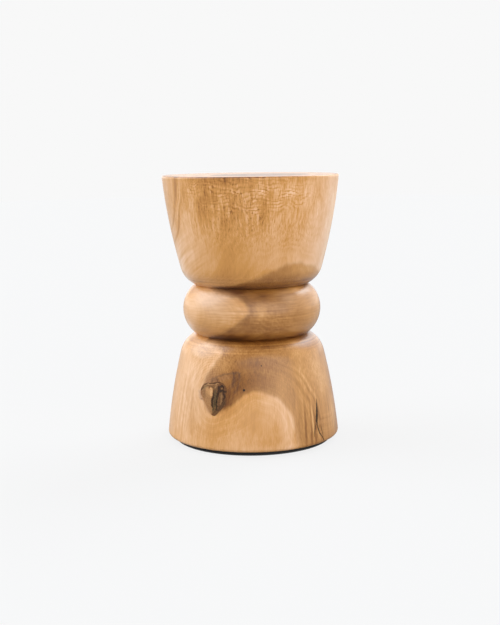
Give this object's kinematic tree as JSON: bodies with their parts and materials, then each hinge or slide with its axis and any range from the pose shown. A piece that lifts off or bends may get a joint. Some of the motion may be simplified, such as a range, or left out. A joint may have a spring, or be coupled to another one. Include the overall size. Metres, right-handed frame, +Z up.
{
  "type": "log stool",
  "caption": "Wooden stool turned from a solid log: tapered drum seat, bulging waist ring and flared foot, on a black rubber base disc.",
  "frame": {"origin": "on the floor at the turning axis, the centre of the base disc's lower face", "axes": "+Z up along the turning axis, -Y towards the front with the knot and the check, +X to the right"},
  "size_m": [0.2974, 0.2973, 0.45],
  "materials": {
    "oiled_wood": "satin oil over fine turned surface",
    "knot_wood": "satin oil",
    "dark_resin": "flush sanded resin",
    "black_rubber": "matte moulded",
    "zinc_steel": "zinc plated"
  },
  "bodies": {
    "root": {"turned_log": "oiled_wood", "knot_core": "knot_wood", "knot_resin": "dark_resin", "check_resin": "dark_resin", "pin_knot_resin": "dark_resin", "base_disc": "black_rubber", "flat_washers": "zinc_steel", "base_screws": "zinc_steel"}
  },
  "joints": []
}
